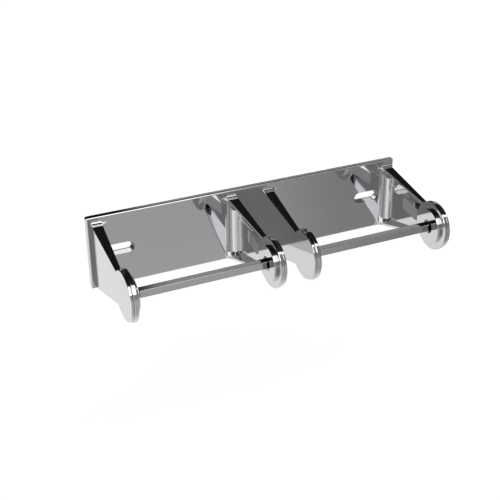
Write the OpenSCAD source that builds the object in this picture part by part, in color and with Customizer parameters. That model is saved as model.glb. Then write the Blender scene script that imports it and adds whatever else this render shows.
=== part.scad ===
// Double toilet roll holder: a shallow pan screwed to the wall, four arms on it,
// a hub on the round end of each arm, and a sprung square bar across each bay.
// X runs along the wall, -Y out into the room and Z up. The origin is at the wall,
// midway between the two screw slots.

/* [Back plate] */
// Width of the back plate
plate_w = 312; // [300:1:330]
// Height of the back plate
plate_h = 71; // [68:0.5:76]
// Depth of the back plate, from the wall to its front face
plate_d = 5; // [4.8:0.1:7]
// Thickness of the back plate's metal
plate_t = 1.2; // [0.9:0.1:1.3]
// Outer radius of the bend round the front face
plate_bend = 1.6; // [1.5:0.1:2.4]
// Radius of the four corners, seen from the front
plate_corner = 2; // [1:0.25:2.5]

/* [Screw slots] */
// Distance between the middles of the two screw slots
slot_spacing = 254; // [244:1:254]
// Length of a screw slot, end to end
slot_l = 23; // [16:0.5:24]
// Width of a screw slot
slot_w = 6.5; // [5:0.25:7]
// Length of the dish round a screw slot, end to end
dish_l = 27; // [26:0.5:27]
// Width of the dish round a screw slot
dish_w = 11; // [10:0.5:13]

/* [Arms] */
// Distance from the wall to the axis of the bars
arm_reach = 88.6; // [82:0.2:100]
// How far the axis of the bars lies above the middle of the plate
axis_rise = 2.6; // [1:0.1:3]
// Distance from the end of the plate to the outer face of an outer arm
arm_inset = 3.7; // [2:0.1:5.5]
// Distance between the outer faces of the two middle arms
middle_gap = 26.4; // [22:0.2:34]
// Thickness of an arm's side wall
arm_wall = 2; // [1.6:0.1:2.4]
// Thickness of an arm's flanges
flange_t = 2; // [1.8:0.1:2.4]
// Width of an arm's flanges near the plate
flange_w = 10; // [9.5:0.25:12]
// Width of an arm's flanges at the hub
flange_tip_w = 3.6; // [3.2:0.1:6]
// Distance from the top of the plate down to the arm
arm_top_gap = 5.9; // [5.2:0.1:8]
// Distance from the bottom of the plate up to the arm
arm_bottom_gap = 1.5; // [1:0.1:3]
// Fall of the upper flange, in degrees
top_slope = 9.6; // [8.6:0.2:11]
// Rise of the lower flange, in degrees
bottom_slope = 16.2; // [14:0.2:17]
// Rounding along an arm's outer edges
arm_round = 0.6; // [0.4:0.1:1.5]
// Radius of the fillets where an arm's flanges widen to the plate
root_fillet = 6; // [4:0.5:7]
// Radius of the fillet between an arm's side wall and the plate
wall_fillet = 9.5; // [8:0.5:9.5]
// Radius of the cove on top of an arm, where it meets the plate
cove = 3.4; // [2:0.2:3.6]
// Height that the rib along the side wall stands off it
rib_t = 0.3; // [0.2:0.05:0.6]
// Distance from the wall to the place where the rib starts to climb to the hub
ramp_start = 33; // [28:0.5:40]
// Half the height of the rib
rib_half_h = 9; // [8.5:0.25:11]
// Half the height of the ramp where it starts
ramp_half_h = 6; // [5:0.25:7]
// Flare of the ramp's upper and lower edges towards the hub, in degrees
ramp_flare = 8; // [5:0.5:9]
// How far the ramp's upper and lower faces lean in over its rise
ramp_lean = 4.5; // [3.5:0.25:5]

/* [Hubs] */
// Radius of an arm's round end
end_r = 22; // [21:0.2:23]
// Thickness of an arm's round end
end_t = 2.4; // [2.2:0.1:3]
// Radius of a hub's wide rim
hub_r = 23; // [22:0.2:24]
// Thickness of a hub's wide rim
hub_t = 4; // [3.6:0.1:4.8]
// Rounding of a hub's wide rim
hub_round = 0.9; // [0.6:0.1:1.5]
// Radius of a hub's inner boss
boss_r = 16.6; // [15:0.2:19]
// Height of a hub's inner boss
boss_t = 3; // [2.7:0.1:4]
// Rounding of a hub's inner boss
boss_round = 1.6; // [1:0.1:2.2]
// Radius of the round recess that a bar's end lies in
recess_r = 6.5; // [6:0.1:8]
// Depth of that recess
recess_d = 3.5; // [3:0.1:3.8]
// Depth of the bearing bore below the recess
bore_d = 4.2; // [4:0.1:4.6]
// Radius of the spigot that a hub is pressed in by
spigot_r = 8; // [7:0.25:10]
// Length of that spigot
spigot_l = 1.2; // [1:0.1:1.3]

/* [Bars] */
// Width across the flats of a bar's sleeve
bar_w = 7; // [6.8:0.1:8]
// Thickness of the sleeve's wall
bar_wall = 0.8; // [0.6:0.05:1]
// Rounding along the sleeve's outer edges
bar_round = 0.5; // [0.3:0.05:0.7]
// Radius of the pins that turn in the hubs
pin_r = 2.5; // [2:0.05:2.6]
// Length of each pin
pin_l = 3.4; // [3:0.1:3.8]
// Travel of the sprung end
stroke = 7.2; // [7:0.1:7.3]
// Bare length of the sprung end outside the hub's boss
bare_l = 4.2; // [4.2:0.1:5]
// Length of the sprung end inside the sleeve
guide_l = 36; // [34:1:44]
// Distance from the sleeve's sprung end to its stop pin
stop_at = 24; // [18:1:26]
// Radius of the stop pin
stop_r = 0.8; // [0.6:0.05:1]

/* [Springs] */
// Length of the spring at rest
spring_l = 48; // [40:1:52]
// Radius of the spring, to the middle of its wire
spring_r = 2; // [1.6:0.05:2.2]
// Radius of the spring's wire
wire_r = 0.35; // [0.25:0.05:0.4]
// Number of turns in the spring
spring_turns = 17; // [14:1:20]

/* [Arm fixings] */
// Radius of the boss that an arm's screw runs into
screw_boss_r = 3.8; // [3.5:0.1:4]
// Length of that boss
screw_boss_l = 9; // [8:0.5:11]
// Radius of the screw's thread
screw_r = 2; // [1.5:0.05:2]
// Length of the screw below its washer
screw_l = 9; // [7:0.5:9.5]
// Radius of the screw's head
head_r = 3.4; // [3:0.1:3.6]
// Height of the screw's head
head_t = 2.4; // [2:0.1:2.8]
// Radius of the washer
washer_r = 4.2; // [3.8:0.1:4.4]
// Thickness of the washer
washer_t = 0.8; // [0.5:0.1:1]
// Radius of the locating peg at the foot of an arm
peg_r = 2; // [1.5:0.1:2.2]
// Length of the peg
peg_l = 3; // [2.5:0.25:4]

/* [Hidden] */
$fn = 64;

chrome = [0.78, 0.79, 0.80];
steel = [0.62, 0.63, 0.64];
spring_steel = [0.50, 0.51, 0.53];

fit_play = 0.05;
slide_play = 0.1;
end_play = 0.4;
seat_play = 0.15;
boss_sink = 0.5;
groove_round = 0.6;
thread_end = 1;
cut = 1;
big = 400;

axis_z = axis_rise;
root_top = plate_h / 2 - arm_top_gap;
root_bottom = -plate_h / 2 + arm_bottom_gap;
arm_depth = arm_reach - plate_d;

outer_x = plate_w / 2 - arm_inset;
inner_x = middle_gap / 2;
arm_x = [-outer_x, -inner_x, inner_x, outer_x];
arm_side = [1, -1, 1, -1];

hub_h = hub_t + boss_t;
boss_face = end_t + hub_h;
bore_r = pin_r + fit_play;
sleeve_in = bar_w - 2 * bar_wall;
shank_w = sleeve_in - 2 * slide_play;
left_bay = [-outer_x + boss_face, -inner_x - boss_face];
right_bay = [inner_x + boss_face, outer_x - boss_face];

screw_x = arm_wall + screw_boss_r - boss_sink;
screw_z = root_top - flange_t - screw_boss_r + boss_sink - screw_boss_l * tan(top_slope);
peg_x = peg_r + arm_round;
peg_z = root_bottom + root_fillet + peg_r;

// A block whose corner at the origin is rounded; it runs to +X and -Y
module corner_block(w, h, r) {
    translate([r, -h]) square([w - r, h]);
    translate([0, -h]) square([w, h - r]);
    translate([r, -r]) circle(r);
}

// A disc's half section, from its axis outwards, with both rims rounded
module disc_section(r, t, low, high) {
    translate([0, low]) square([r, t - low - high]);
    square([r - low, t]);
    translate([r - low, low]) circle(low);
    square([r - high, t]);
    translate([r - high, t - high]) circle(high);
}

// A slot's outline along X, centred
module slot_outline(l, w) {
    square([l - w, w], center = true);
    for (s = [-1, 1]) translate([s * (l - w) / 2, 0]) circle(w / 2);
}

// Stands a flat outline up facing the room and runs it from one depth to another
module from_wall(near, far) {
    translate([0, -near, 0]) rotate([90, 0, 0]) linear_extrude(far - near) children();
}

// Runs an outline drawn in Y and Z along X
module along_x(from, to) {
    translate([from, 0, 0]) rotate([90, 0, 90]) linear_extrude(to - from) children();
}

// Turns a half section about the bars' axis, its height along X
module about_axis(from) {
    translate([from, -arm_reach, axis_z]) rotate([0, 90, 0]) rotate_extrude() children();
}

// A section of the pan: its open back along X and its bent front at +Y
module pan_section(w, d, bend) {
    translate([-w / 2, 0]) square([w, d - bend]);
    translate([bend - w / 2, 0]) square([w - 2 * bend, d]);
    for (s = [-1, 1]) translate([s * (w / 2 - bend), d - bend]) circle(bend);
}

// The pan as a solid block, taken in by the same distance on every side but the back
module pan_block(inset) {
    w = plate_w - 2 * inset;
    h = plate_h - 2 * inset;
    mirror([0, 1, 0]) intersection() {
        linear_extrude(h, center = true) pan_section(w, plate_d - inset, plate_bend - inset);
        rotate([0, -90, 0]) linear_extrude(w, center = true) pan_section(h, plate_d - inset, plate_bend - inset);
    }
}

// The outline of the plate from the front, with its four rounded corners
module plate_outline() {
    square([plate_w - 2 * plate_corner, plate_h], center = true);
    square([plate_w, plate_h - 2 * plate_corner], center = true);
    for (sx = [-1, 1], sz = [-1, 1])
        translate([sx * (plate_w / 2 - plate_corner), sz * (plate_h / 2 - plate_corner)]) circle(plate_corner);
}

module at_screw() {
    translate([screw_x, 0, screw_z]) children();
}

module at_peg() {
    translate([peg_x, 0, peg_z]) children();
}

module at_slots() {
    for (s = [-1, 1]) translate([s * slot_spacing / 2, 0, 0]) children();
}

// Sets a left-hand arm's frame at one of the four arms, mirrored for a right-hand one
module at_arm(i) {
    translate([arm_x[i], 0, 0]) mirror([arm_side[i] > 0 ? 0 : 1, 0, 0]) children();
}

module back_plate() {
    color(chrome) difference() {
        union() {
            difference() {
                intersection() {
                    pan_block(0);
                    from_wall(0, plate_d) plate_outline();
                }
                pan_block(plate_t);
            }
            at_slots() from_wall(0, plate_d - plate_t / 2) slot_outline(dish_l + 2 * plate_t, dish_w + 2 * plate_t);
        }
        at_slots() {
            from_wall(plate_t, plate_d + cut) slot_outline(dish_l, dish_w);
            from_wall(-cut, plate_t + cut) slot_outline(slot_l, slot_w);
        }
        for (i = [0:3]) at_arm(i) {
            at_screw() from_wall(0, plate_d + cut) circle(screw_r + slide_play);
            at_peg() from_wall(0, plate_d + cut) circle(peg_r + slide_play);
        }
    }
}

// The outline of an arm's side wall in Y and Z, up to the hub's axis
module wall_outline() {
    run = arm_depth + end_r;
    intersection() {
        polygon([[-plate_d, root_top - arm_round], [-plate_d, root_bottom + arm_round],
                 [-plate_d - run, root_bottom + arm_round + run * tan(bottom_slope)],
                 [-plate_d - run, root_top - arm_round - run * tan(top_slope)]]);
        union() {
            translate([-arm_reach, axis_z]) circle(end_r - arm_round);
            translate([-arm_reach, -plate_h]) square([arm_depth, 2 * plate_h]);
        }
    }
}

// One flange in its own frame: its outer top edge at the origin, running to -Y
module flange(length) {
    taper = (flange_w - flange_tip_w) / length;
    intersection() {
        translate([0, plate_d, 0]) rotate([90, 0, 0]) linear_extrude(length + plate_d)
            corner_block(flange_w + root_fillet + plate_d, flange_t, arm_round);
        translate([0, 0, -flange_t - cut]) linear_extrude(flange_t + 2 * cut) difference() {
            polygon([[-cut, plate_d], [flange_w + root_fillet, plate_d], [flange_w + root_fillet, -root_fillet],
                     [flange_w - taper * root_fillet, -root_fillet], [flange_tip_w, -length], [-cut, -length]]);
            translate([flange_w + root_fillet, -root_fillet]) circle(root_fillet);
        }
    }
}

// What lies below the ramp's upper face, which leans in and climbs towards the hub
module below_ramp_face(rise) {
    translate([0, -ramp_start, 0]) rotate([-ramp_flare, 0, 0]) translate([0, cut, 0]) rotate([90, 0, 0])
        linear_extrude(arm_reach)
            polygon([[arm_wall - cut, ramp_half_h], [arm_wall, ramp_half_h],
                     [arm_wall + rise, ramp_half_h - ramp_lean], [arm_wall + rise, -plate_h],
                     [arm_wall - cut, -plate_h]]);
}

// The rib along the side wall, and the ramp that climbs from it to the hub's face
module rib() {
    rise = hub_t + end_t - arm_wall;
    ramp_end = arm_reach - sqrt(pow(hub_r, 2) - pow(rib_half_h, 2));
    translate([arm_wall - cut, -arm_reach, axis_z - rib_half_h])
        cube([rib_t + cut, arm_reach - plate_d, 2 * rib_half_h]);
    translate([0, 0, axis_z]) intersection() {
        linear_extrude(2 * plate_h, center = true)
            polygon([[arm_wall - cut, -ramp_start], [arm_wall, -ramp_start], [arm_wall + rise, -ramp_end],
                     [arm_wall + rise, -arm_reach], [arm_wall - cut, -arm_reach]]);
        below_ramp_face(rise);
        mirror([0, 0, 1]) below_ramp_face(rise);
    }
}

// The fillet from the side wall to the plate, which ends within the sloping flanges
module foot_fillet() {
    intersection() {
        translate([0, 0, root_bottom]) linear_extrude(root_top - root_bottom) difference() {
            translate([0, -plate_d - wall_fillet]) square([arm_wall + wall_fillet, wall_fillet]);
            translate([arm_wall + wall_fillet, -plate_d - wall_fillet]) circle(wall_fillet);
        }
        along_x(0, arm_wall + wall_fillet) wall_outline();
    }
}

// The cove on top of an arm's foot, tangent to the plate and to the upper flange
module foot_cove() {
    middle = cove * (1 - sin(top_slope)) / cos(top_slope);
    along_x(arm_round, flange_w) translate([-plate_d - cove, root_top]) difference() {
        translate([0, -flange_t / 2 - cove * tan(top_slope)])
            square([cove, flange_t / 2 + cove * tan(top_slope) + middle]);
        translate([0, middle]) circle(cove);
    }
}

module arm_blank() {
    top_run = arm_depth / cos(top_slope);
    bottom_run = arm_depth / cos(bottom_slope);
    along_x(0, arm_wall) wall_outline();
    translate([0, -plate_d, root_top]) rotate([top_slope, 0, 0]) flange(top_run);
    translate([0, -plate_d, root_bottom]) rotate([-bottom_slope, 0, 0]) mirror([0, 0, 1]) flange(bottom_run);
    rib();
    foot_fillet();
    foot_cove();
    at_screw() from_wall(plate_d, plate_d + screw_boss_l) circle(screw_boss_r);
}

// An arm with its outer face at X = 0 and its flanges towards +X
module arm() {
    difference() {
        union() {
            difference() {
                intersection() {
                    arm_blank();
                    translate([-cut, -big, -big]) cube([big, big - plate_d, 2 * big]);
                }
                translate([end_t, -arm_reach, axis_z]) rotate([0, 90, 0]) cylinder(h = big, r = hub_r + seat_play);
                translate([-cut, -arm_reach, axis_z]) rotate([0, 90, 0]) cylinder(h = big, r = end_r - arm_round);
            }
            about_axis(0) disc_section(end_r, end_t, arm_round, groove_round);
            at_peg() from_wall(plate_d - peg_l, plate_d + cut) circle(peg_r);
        }
        translate([end_t - spigot_l, -arm_reach, axis_z]) rotate([0, 90, 0])
            cylinder(h = spigot_l + cut, r = spigot_r + fit_play);
        at_screw() from_wall(plate_d - cut, plate_d + screw_boss_l - thread_end) circle(screw_r + fit_play);
    }
}

// A hub in the same frame as the arm that it sits on
module hub() {
    difference() {
        union() {
            about_axis(end_t) disc_section(hub_r, hub_t, hub_round, hub_round);
            about_axis(end_t) disc_section(boss_r, hub_h, groove_round, boss_round);
            about_axis(end_t - spigot_l) square([spigot_r, spigot_l + cut]);
        }
        about_axis(boss_face - recess_d) square([recess_r, recess_d + cut]);
        about_axis(boss_face - recess_d - bore_d) square([bore_r, bore_d + cut]);
    }
}

module arm_screws() {
    washer_back = plate_d - plate_t - washer_t;
    color(steel) for (i = [0:3]) at_arm(i) at_screw() {
        from_wall(washer_back, washer_back + screw_l) circle(screw_r);
        from_wall(washer_back - head_t, washer_back) circle(head_r);
    }
}

module arm_washers() {
    color(steel) for (i = [0:3]) at_arm(i) at_screw()
        from_wall(plate_d - plate_t - washer_t, plate_d - plate_t) difference() {
            circle(washer_r);
            circle(screw_r + slide_play);
        }
}

// A square bar on the bars' axis
module square_bar(from, to, w) {
    translate([from, -arm_reach - w / 2, axis_z - w / 2]) cube([to - from, w, w]);
}

module round_bar(from, to, r) {
    translate([from, -arm_reach, axis_z]) rotate([0, 90, 0]) cylinder(h = to - from, r = r);
}

module stop_hole(x, r) {
    translate([x, -arm_reach, axis_z - bar_w]) cylinder(h = 2 * bar_w, r = r);
}

module sleeve(bay) {
    from = bay[0] + bare_l;
    to = bay[1] + recess_d - end_play;
    half = bar_w / 2;
    color(chrome) difference() {
        translate([0, -arm_reach, axis_z]) along_x(from, to) {
            square([bar_w - 2 * bar_round, bar_w], center = true);
            square([bar_w, bar_w - 2 * bar_round], center = true);
            for (sy = [-1, 1], sz = [-1, 1])
                translate([sy * (half - bar_round), sz * (half - bar_round)]) circle(bar_round);
        }
        square_bar(from - cut, to + cut, sleeve_in);
        stop_hole(from + stop_at, stop_r + fit_play / 2);
    }
}

module fixed_end(bay) {
    inner = bay[0] + bare_l + guide_l + spring_l;
    shoulder = bay[1] + recess_d - end_play;
    color(steel) {
        square_bar(inner, shoulder, sleeve_in - fit_play);
        round_bar(shoulder - cut, shoulder + end_play + pin_l, pin_r);
    }
}

module sprung_end(bay) {
    shoulder = bay[0] - recess_d + end_play;
    inner = bay[0] + bare_l + guide_l;
    stop_x = bay[0] + bare_l + stop_at;
    slot_half = stop_r + slide_play;
    color(steel) difference() {
        union() {
            square_bar(shoulder, inner, shank_w);
            round_bar(shoulder - end_play - pin_l, shoulder + cut, pin_r);
        }
        translate([stop_x - stroke - slot_half, -arm_reach - slot_half, axis_z - bar_w])
            cube([stroke + 2 * slot_half, 2 * slot_half, 2 * bar_w]);
    }
}

module stop_pin(bay) {
    color(steel) translate([bay[0] + bare_l + stop_at, -arm_reach, axis_z - bar_w / 2])
        cylinder(h = bar_w, r = stop_r);
}

// A coil along X: a ring of points at each step of the helix, joined into one tube
module spring(bay) {
    steps = 10;
    sides = 6;
    rings = spring_turns * steps;
    clear = wire_r + seat_play;
    from = bay[0] + bare_l + guide_l + clear;
    length = spring_l - 2 * clear;
    points = [for (k = [0:rings], j = [0:sides - 1])
        let (turn = 360 * k / steps, round = 360 * j / sides, reach = spring_r + wire_r * cos(round))
        [from + length * k / rings + wire_r * sin(round),
         -arm_reach + reach * cos(turn), axis_z + reach * sin(turn)]];
    skin = [for (k = [0:rings - 1], j = [0:sides - 1], half = [0, 1])
        let (a = k * sides + j, b = k * sides + (j + 1) % sides)
        half == 0 ? [a, b, b + sides] : [a, b + sides, a + sides]];
    caps = [[for (j = [0:sides - 1]) sides - 1 - j], [for (j = [0:sides - 1]) rings * sides + j]];
    color(spring_steel) polyhedron(points, concat(skin, caps));
}

back_plate();
color(chrome) at_arm(0) arm();  // arm_1
color(chrome) at_arm(1) arm();  // arm_2
color(chrome) at_arm(2) arm();  // arm_3
color(chrome) at_arm(3) arm();  // arm_4
color(chrome) at_arm(0) hub();  // hub_1
color(chrome) at_arm(1) hub();  // hub_2
color(chrome) at_arm(2) hub();  // hub_3
color(chrome) at_arm(3) hub();  // hub_4
arm_screws();
arm_washers();
sleeve(left_bay);  // left_sleeve
fixed_end(left_bay);  // left_fixed_end
sprung_end(left_bay);  // left_sprung_end
spring(left_bay);  // left_spring
stop_pin(left_bay);  // left_stop_pin
sleeve(right_bay);  // right_sleeve
fixed_end(right_bay);  // right_fixed_end
sprung_end(right_bay);  // right_sprung_end
spring(right_bay);  // right_spring
stop_pin(right_bay);  // right_stop_pin
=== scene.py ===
import math

import bmesh
import bpy
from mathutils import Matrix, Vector


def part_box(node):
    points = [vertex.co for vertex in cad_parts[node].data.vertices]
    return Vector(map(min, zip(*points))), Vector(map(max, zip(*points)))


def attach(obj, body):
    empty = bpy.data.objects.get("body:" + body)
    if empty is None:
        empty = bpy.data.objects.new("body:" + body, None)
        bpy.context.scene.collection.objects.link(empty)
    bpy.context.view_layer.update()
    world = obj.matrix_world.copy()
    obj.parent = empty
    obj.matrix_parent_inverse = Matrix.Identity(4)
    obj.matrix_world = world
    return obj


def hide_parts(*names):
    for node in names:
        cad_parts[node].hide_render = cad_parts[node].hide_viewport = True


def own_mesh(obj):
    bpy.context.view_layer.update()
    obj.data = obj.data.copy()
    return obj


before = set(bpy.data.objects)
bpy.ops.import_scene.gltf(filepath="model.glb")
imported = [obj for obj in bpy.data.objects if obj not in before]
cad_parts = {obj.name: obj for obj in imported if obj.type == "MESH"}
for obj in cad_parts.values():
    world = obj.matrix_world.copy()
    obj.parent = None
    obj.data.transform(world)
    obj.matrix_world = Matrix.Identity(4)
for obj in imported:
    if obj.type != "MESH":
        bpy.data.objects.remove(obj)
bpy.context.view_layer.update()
scene = bpy.context.scene

# Camera: the photograph looks down on the holder from its left front
AZIMUTH = -24.91
ELEVATION = 28.74
DISTANCE = 0.9
TARGET = Vector((-0.01545, -0.03947, -0.01025))
LENS_MM = 71.12
SENSOR_MM = 36.0
CLIP_START = 0.01

WHITE = (1.0, 1.0, 1.0, 1.0)

# The studio as the metal sees it, by the height of a direction along the wall, in degrees:
# 0 is the room in front, 90 overhead, 180 the wall's side, -90 the floor. 1 is white.
STUDIO = (
    (-180, 0.03), (-168, 0.05), (-152, 1.0), (-104, 1.0), (-66, 0.88), (-44, 0.55), (-26, 0.49),
    (-2, 0.60), (10, 0.34), (27, 0.30), (62, 0.26), (72, 0.03), (100, 0.012), (134, 0.012),
    (168, 0.02), (180, 0.03),
)
# Below, two numbers are a soft edge and four are a band between two of them. They are heights
# in degrees as above, or where it says across, the direction's x: -1 is left and 1 is right.
#
# A grey strip high behind the wall, on the right only
STRIP = (136.0, 142.0, 157.0, 165.0)
STRIP_LEFT_EDGE = (0.25, 0.29)  # across
STRIP_LEVEL = 0.36
# Where the white background of the photograph lies, behind and below the holder
BEHIND = (-172.0, -152.0, -104.0, -92.0)
# The softbox in front of the ceiling, and how far it reaches to the right
BOX = (26.0, 30.0, 65.0, 69.0)
BOX_STRENGTH = 2.2
BOX_RIGHT_EDGE = (0.31, 0.40)  # across
BOX_RIGHT_LEVEL = 0.10
# Above this height the softbox is as bright on the right
BOX_WIDE = (55.0, 61.0)
# The room in front darkens towards the right
FRONT = (-70.0, -40.0, 60.0, 90.0)
RIGHT_FADE = (0.30, 0.58)  # across
RIGHT_LEVEL = 0.60
# A pale wall far to the left lifts the dark ceiling there
LEFT_WALL = (0.0, 30.0, 60.0, 100.0)
LEFT_FADE = (-0.66, -0.28)  # across
LEFT_LEVEL = 0.30
# A duller stretch of the room in front, left of the middle
DULL = (-60.0, -45.0, -10.0, 0.0)
DULL_WIDTH = (-0.52, -0.42, -0.28, -0.15)  # across
DULL_LEVEL = 0.62
# A white reflector low on the left
CARD = (-80.0, -66.0, -34.0, -27.0)
CARD_RIGHT_EDGE = (-0.80, -0.68)  # across
CARD_LEVEL = 1.15

FLOOR_Z = -0.30
FLOOR_SIZE = 8.0
FLOOR_LIGHT, FLOOR_DARK = (0.9, 0.9, 0.9), (0.86, 0.86, 0.86)
FLOOR_ROUGHNESS = 0.9
# How far the floor glows by itself; the studio's light on it makes up the rest of its white
FLOOR_GLOW = 0.62

# The noises of the materials: how many to a metre, and the part of their range that is used
CLOUD_SCALE = 22.0
SMUDGE_SCALE = 70.0
DISC_SMUDGE_SCALE = 90.0
SPECK_SCALE = 60.0
TONE_SPAN = (0.3, 0.7)
WEAR_SPAN = (0.3, 0.75)
# How much of a metal's tone follows its tool marks
GRAIN_IN_TONE = 0.35

CHROME = {"light": (0.622, 0.626, 0.634), "dark": (0.604, 0.609, 0.618)}
ZINC = {"light": (0.61, 0.62, 0.64), "dark": (0.50, 0.51, 0.53)}
PIN_STEEL = {"light": (0.57, 0.58, 0.60), "dark": (0.49, 0.50, 0.52)}
SPRING_STEEL = {"light": (0.45, 0.46, 0.48), "dark": (0.36, 0.37, 0.39)}

# The springs' wire and turns, and how much closer the end turns lie
WIRE_R = 0.00035
WIRE_SIDES = 8
COIL_TURNS = 17
COIL_STEPS = 20
COIL_CLOSING = 0.5


def aim_camera():
    azimuth, elevation = math.radians(AZIMUTH), math.radians(ELEVATION)
    back = Vector((math.sin(azimuth) * math.cos(elevation),
                   -math.cos(azimuth) * math.cos(elevation),
                   math.sin(elevation)))
    data = bpy.data.cameras.new("camera")
    data.lens = LENS_MM
    data.sensor_width = SENSOR_MM
    data.clip_start = CLIP_START
    camera = bpy.data.objects.new("camera", data)
    camera.location = TARGET + DISTANCE * back
    camera.rotation_mode = "QUATERNION"
    camera.rotation_quaternion = (-back).to_track_quat("-Z", "Y")
    scene.collection.objects.link(camera)
    scene.camera = camera


class Nodes:
    """A node tree with short calls for what the materials and the world are made of."""

    def __init__(self, tree):
        self.tree = tree
        tree.nodes.clear()

    def add(self, kind, **settings):
        node = self.tree.nodes.new("ShaderNode" + kind)
        for name, value in settings.items():
            setattr(node, name, value)
        return node

    def put(self, socket, value):
        if isinstance(value, bpy.types.NodeSocket):
            self.tree.links.new(value, socket)
        else:
            socket.default_value = value

    def surface(self, shader, kind="OutputMaterial"):
        self.put(self.add(kind).inputs["Surface"], shader.outputs[0])

    def math(self, operation, *values):
        node = self.add("Math", operation=operation)
        for socket, value in zip(node.inputs, values):
            self.put(socket, value)
        return node.outputs[0]

    def product(self, a, b):
        return self.math("MULTIPLY", a, b)

    def ramp(self, value, low, high, to_low=0.0, to_high=1.0):
        node = self.add("MapRange", interpolation_type="SMOOTHSTEP")
        for socket, given in zip(node.inputs, (value, low, high, to_low, to_high)):
            self.put(socket, given)
        return node.outputs[0]

    def fall(self, value, low, high):
        """1 below a soft edge, and 0 above it."""
        return self.ramp(value, low, high, 1.0, 0.0)

    def band(self, value, rise_from, rise_to, fall_from, fall_to):
        """1 between two soft edges, and 0 outside them."""
        return self.product(self.ramp(value, rise_from, rise_to), self.fall(value, fall_from, fall_to))

    def mix(self, share, a, b):
        node = self.add("Mix", data_type="FLOAT")
        for socket, value in zip(node.inputs[:1] + node.inputs[2:4], (share, a, b)):
            self.put(socket, value)
        return node.outputs[0]

    def tones(self, share, dark, light):
        """A colour between two tones."""
        node = self.add("Mix", data_type="RGBA")
        values = (share, (*dark, 1.0), (*light, 1.0))
        for socket, value in zip((node.inputs[0], node.inputs[6], node.inputs[7]), values):
            self.put(socket, value)
        return node.outputs[2]

    def place(self):
        return self.add("TexCoord").outputs["Object"]

    def split(self, vector):
        node = self.add("SeparateXYZ")
        self.put(node.inputs[0], vector)
        return node.outputs

    def stretched(self, scale):
        """Object coordinates, scaled by a different amount along each axis."""
        node = self.add("Mapping")
        self.put(node.inputs["Vector"], self.place())
        node.inputs["Scale"].default_value = scale
        return node.outputs[0]

    def noise(self, scale, detail=3.0, vector=None, roughness=0.55):
        node = self.add("TexNoise")
        self.put(node.inputs["Vector"], vector or self.place())
        node.inputs["Scale"].default_value = scale
        node.inputs["Detail"].default_value = detail
        node.inputs["Roughness"].default_value = roughness
        return node.outputs[0]

    def bump(self, height, distance, normal=None):
        node = self.add("Bump")
        node.inputs["Strength"].default_value = 1.0
        node.inputs["Distance"].default_value = distance
        self.put(node.inputs["Height"], height)
        if normal:
            self.put(node.inputs["Normal"], normal)
        return node.outputs[0]

    def rays(self):
        """Whether a ray is the camera's, and whether it comes off metal or through glass."""
        path = self.add("LightPath")
        mirrored = self.math("MAXIMUM", path.outputs["Is Glossy Ray"], path.outputs["Is Transmission Ray"])
        return path.outputs["Is Camera Ray"], mirrored


def studio_level(nodes, direction):
    """How bright the studio is in a direction as seen from the holder, where 1 is white, and
    how far that direction meets the white background."""
    x, y, z = nodes.split(direction)
    turn = nodes.math("ARCTAN2", z, nodes.product(y, -1.0))
    degrees = nodes.product(turn, 180.0 / math.pi)
    bands = nodes.add("ValToRGB")
    steps = bands.color_ramp.elements
    while len(steps) < len(STUDIO):
        steps.new(0.5)
    for step, (angle, shade) in zip(steps, STUDIO):
        step.position = (angle + 180.0) / 360.0
        step.color = (shade,) * 3 + (1.0,)
    nodes.put(bands.inputs[0], nodes.math("MULTIPLY_ADD", degrees, 1.0 / 360.0, 0.5))
    level = bands.outputs[0]
    left = nodes.product(nodes.fall(x, *LEFT_FADE), nodes.band(degrees, *LEFT_WALL))
    level = nodes.math("MAXIMUM", level, nodes.product(left, LEFT_LEVEL))
    dull = nodes.product(nodes.band(x, *DULL_WIDTH), nodes.band(degrees, *DULL))
    level = nodes.product(level, nodes.mix(dull, 1.0, DULL_LEVEL))
    card = nodes.product(nodes.band(degrees, *CARD), nodes.fall(x, *CARD_RIGHT_EDGE))
    level = nodes.mix(card, level, CARD_LEVEL)
    right = nodes.ramp(x, *RIGHT_FADE, 1.0, RIGHT_LEVEL)
    level = nodes.product(level, nodes.mix(nodes.band(degrees, *FRONT), 1.0, right))
    strip = nodes.product(nodes.band(degrees, *STRIP), nodes.ramp(x, *STRIP_LEFT_EDGE))
    level = nodes.mix(strip, level, STRIP_LEVEL)
    box_right = nodes.mix(nodes.ramp(degrees, *BOX_WIDE), BOX_RIGHT_LEVEL, 1.0)
    box_share = nodes.mix(nodes.ramp(x, *BOX_RIGHT_EDGE), 1.0, box_right)
    level = nodes.mix(nodes.band(degrees, *BOX), level, nodes.product(box_share, BOX_STRENGTH))
    return level, nodes.band(degrees, *BEHIND)


def background_strength(nodes, direction):
    """White to the camera all round, and to metal and glass behind the holder. Everywhere else
    it is the studio."""
    level, behind = studio_level(nodes, direction)
    camera, mirrored = nodes.rays()
    white = nodes.math("MAXIMUM", camera, nodes.product(mirrored, behind))
    return nodes.mix(white, level, 1.0)


def light_world():
    world = bpy.data.worlds.new("studio")
    world.use_nodes = True
    scene.world = world
    nodes = Nodes(world.node_tree)
    background = nodes.add("Background")
    background.inputs["Color"].default_value = WHITE
    direction = nodes.add("TexCoord").outputs["Generated"]
    nodes.put(background.inputs["Strength"], background_strength(nodes, direction))
    nodes.surface(background, "OutputWorld")


def new_material(name):
    material = bpy.data.materials.new(name)
    material.use_nodes = True
    return material, Nodes(material.node_tree)


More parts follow.
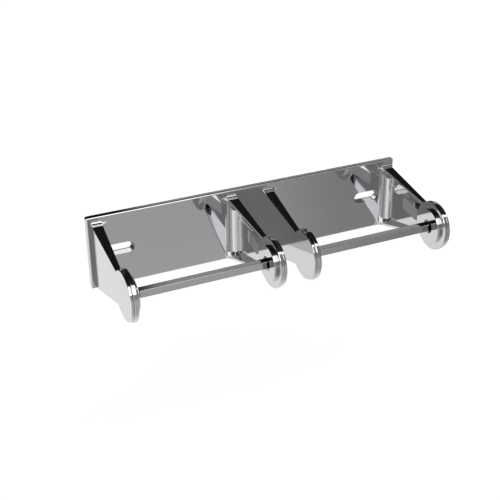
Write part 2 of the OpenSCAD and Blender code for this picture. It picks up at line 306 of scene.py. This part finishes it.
def finish_metal(nodes, colours, tone, worn, roughness, wear, normal):
    """The shader of a metal, whose colour drifts between two tones and its roughness with wear."""
    shader = nodes.add("BsdfPrincipled")
    shader.inputs["Metallic"].default_value = 1.0
    colour = nodes.tones(nodes.ramp(tone, *TONE_SPAN), colours["dark"], colours["light"])
    nodes.put(shader.inputs["Base Color"], colour)
    nodes.put(shader.inputs["Roughness"], nodes.ramp(worn, *WEAR_SPAN, roughness, roughness + wear))
    nodes.put(shader.inputs["Normal"], normal)
    nodes.surface(shader)


def metal(name, colours, roughness, wear, marks, mark_height, wave, wave_height):
    """A plated or bare metal, with long tool marks over a slow waviness. Marks and waves are
    counted to a metre, and their heights are in metres."""
    material, nodes = new_material(name)
    cloud = nodes.noise(CLOUD_SCALE, detail=4.0)
    grain = nodes.noise(1.0, vector=nodes.stretched(marks))
    smudge = nodes.noise(SMUDGE_SCALE, detail=5.0, roughness=0.65)
    tone = nodes.mix(GRAIN_IN_TONE, cloud, grain)
    worn = nodes.mix(0.5, smudge, grain)
    slow = nodes.bump(nodes.noise(wave, detail=2.0), wave_height)
    finish_metal(nodes, colours, tone, worn, roughness, wear, nodes.bump(grain, mark_height, slow))
    return material


def turned(name, colours, roughness, wear, rings, ring_height):
    """A turned and plated disc: fine rings round the axis of the bars, under a light polish."""
    material, nodes = new_material(name)
    low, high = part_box("hub_1")
    middle = (low + high) / 2
    from_axis = nodes.add("VectorMath", operation="SUBTRACT")
    nodes.put(from_axis.inputs[0], nodes.place())
    from_axis.inputs[1].default_value = (0.0, middle.y, middle.z)
    x, y, z = nodes.split(from_axis.outputs[0])
    squares = nodes.math("ADD", nodes.math("POWER", y, 2.0), nodes.math("POWER", z, 2.0))
    line = nodes.add("CombineXYZ")
    nodes.put(line.inputs[0], nodes.math("SQRT", squares))
    nodes.put(line.inputs[1], x)
    ring = nodes.noise(rings, vector=line.outputs[0])
    smudge = nodes.noise(DISC_SMUDGE_SCALE, detail=4.0)
    worn = nodes.mix(0.5, ring, smudge)
    finish_metal(nodes, colours, smudge, worn, roughness, wear, nodes.bump(ring, ring_height))
    return material


def dress(material, *names):
    for name in names:
        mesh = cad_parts[name].data
        mesh.materials.clear()
        mesh.materials.append(material)


def lay_floor():
    """A pale floor well below the holder, which hangs on a wall."""
    half = FLOOR_SIZE / 2
    corners = [(x, y, FLOOR_Z) for x, y in ((-half, -half), (half, -half), (half, half), (-half, half))]
    mesh = bpy.data.meshes.new("floor")
    mesh.from_pydata(corners, [], [(0, 1, 2, 3)])
    floor = bpy.data.objects.new("floor", mesh)
    scene.collection.objects.link(floor)
    material, nodes = new_material("pale_floor")
    camera, mirrored = nodes.rays()
    # To a mirror ray the floor is as bright as the studio is there, and white behind the holder
    toward = nodes.add("VectorMath", operation="NORMALIZE")
    nodes.put(toward.inputs[0], nodes.place())
    glow = nodes.add("Emission")
    nodes.put(glow.inputs["Strength"], background_strength(nodes, toward.outputs[0]))
    # To all other rays it is lit, and keeps the holder's shadow
    lit = nodes.add("BsdfPrincipled")
    speck = nodes.ramp(nodes.noise(SPECK_SCALE, detail=4.0), *TONE_SPAN)
    nodes.put(lit.inputs["Base Color"], nodes.tones(speck, FLOOR_DARK, FLOOR_LIGHT))
    lit.inputs["Roughness"].default_value = FLOOR_ROUGHNESS
    lit.inputs["Specular IOR Level"].default_value = 0.0
    lit.inputs["Emission Color"].default_value = WHITE
    nodes.put(lit.inputs["Emission Strength"], nodes.product(camera, FLOOR_GLOW))
    choose = nodes.add("MixShader")
    nodes.put(choose.inputs[0], mirrored)
    nodes.put(choose.inputs[1], lit.outputs[0])
    nodes.put(choose.inputs[2], glow.outputs[0])
    nodes.surface(choose)
    mesh.materials.append(material)


def wind_spring(side, material):
    """The coil inside a bar, with its end turns closed up."""
    low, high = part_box(f"{side}_spring")
    middle, reach = (low + high) / 2, (high.y - low.y) / 2 - WIRE_R
    start, length = low.x + WIRE_R, high.x - low.x - 2 * WIRE_R
    axis = Vector((1.0, 0.0, 0.0))
    mesh = bpy.data.meshes.new(f"{side}_coil")
    build = bmesh.new()
    rings = []
    for k in range(COIL_TURNS * COIL_STEPS + 1):
        share = k / (COIL_TURNS * COIL_STEPS)
        # The pitch falls off at both ends, where the turns lie close together
        along = share - COIL_CLOSING * math.sin(2 * math.pi * share) / (2 * math.pi)
        turn = 2 * math.pi * k / COIL_STEPS
        out = Vector((0.0, math.cos(turn), math.sin(turn)))
        spot = Vector((start + length * along, middle.y, middle.z)) + reach * out
        ring = []
        for j in range(WIRE_SIDES):
            around = 2 * math.pi * j / WIRE_SIDES
            ring.append(build.verts.new(spot + WIRE_R * (math.cos(around) * out + math.sin(around) * axis)))
        rings.append(ring)
    for near, far in zip(rings, rings[1:]):
        for j in range(WIRE_SIDES):
            after = (j + 1) % WIRE_SIDES
            build.faces.new((near[j], near[after], far[after], far[j]))
    build.faces.new(list(reversed(rings[0])))
    build.faces.new(rings[-1])
    bmesh.ops.recalc_face_normals(build, faces=build.faces)
    for face in build.faces:
        face.smooth = len(face.verts) == 4
    build.to_mesh(mesh)
    build.free()
    mesh.materials.append(material)
    coil = bpy.data.objects.new(f"{side}_coil", mesh)
    scene.collection.objects.link(coil)
    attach(coil, f"{side}_bar")
    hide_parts(f"{side}_spring")
    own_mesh(coil)


aim_camera()
light_world()
lay_floor()
scene.view_settings.view_transform = "Standard"

SIDES = ("left", "right")
dress(metal("plate_chrome_polish", CHROME, roughness=0.03, wear=0.05,
            marks=(40, 600, 1800), mark_height=2e-7, wave=28.0, wave_height=6e-6),
      "back_plate")
dress(metal("cast_chrome_polish", CHROME, roughness=0.04, wear=0.07,
            marks=(500, 60, 500), mark_height=4e-7, wave=55.0, wave_height=1.2e-5),
      *[f"arm_{i}" for i in range(1, 5)])
dress(turned("hub_chrome_turned", CHROME, roughness=0.035, wear=0.05, rings=2600.0, ring_height=5e-7),
      *[f"hub_{i}" for i in range(1, 5)])
dress(metal("bar_chrome_drawn", CHROME, roughness=0.03, wear=0.06,
            marks=(25, 2500, 2500), mark_height=3e-7, wave=40.0, wave_height=4e-6),
      *[f"{side}_sleeve" for side in SIDES])
dress(metal("zinc_steel_satin", ZINC, roughness=0.26, wear=0.16,
            marks=(900, 900, 900), mark_height=3e-6, wave=120.0, wave_height=1e-5),
      "arm_screws", "arm_washers")
dress(metal("pin_steel_ground", PIN_STEEL, roughness=0.18, wear=0.14,
            marks=(40, 3200, 3200), mark_height=1.5e-6, wave=90.0, wave_height=6e-6),
      *[f"{side}_{piece}" for side in SIDES for piece in ("fixed_end", "sprung_end", "stop_pin")])
spring_wire = metal("spring_steel_wire", SPRING_STEEL, roughness=0.30, wear=0.15,
                    marks=(1500, 1500, 1500), mark_height=2e-6, wave=200.0, wave_height=5e-6)
for side in SIDES:
    dress(spring_wire, f"{side}_spring")
    wind_spring(side, spring_wire)
